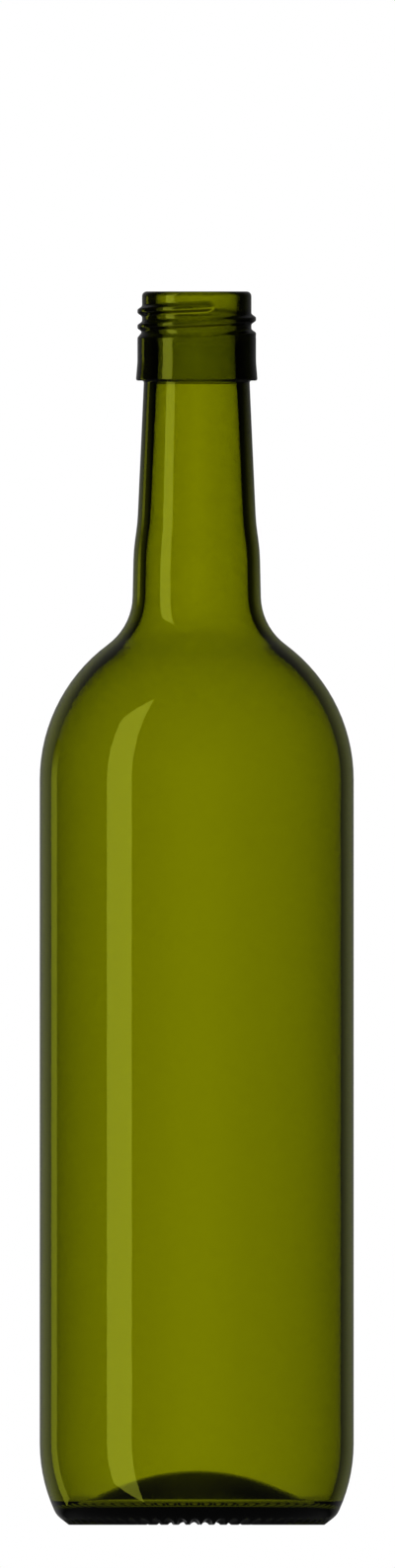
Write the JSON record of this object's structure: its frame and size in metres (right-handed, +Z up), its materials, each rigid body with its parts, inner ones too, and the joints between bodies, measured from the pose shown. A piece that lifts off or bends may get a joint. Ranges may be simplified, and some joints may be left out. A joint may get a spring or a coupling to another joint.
{
  "type": "wine bottle",
  "caption": "Empty tall glass wine bottle with straight sides, round shoulder, stepped neck, collar, screw-thread mouth and a domed base on a knurled foot ring.",
  "frame": {"origin": "on the axis, at the plane the foot ring stands on", "axes": "+Z up the axis towards the mouth; -Y is the front, where the thread starts; +X is to the right of the front"},
  "size_m": [0.0764, 0.0764, 0.3],
  "materials": {
    "bottle_glass": "clear olive-green glass, polished"
  },
  "bodies": {
    "root": {"bottle": "bottle_glass"}
  },
  "joints": []
}
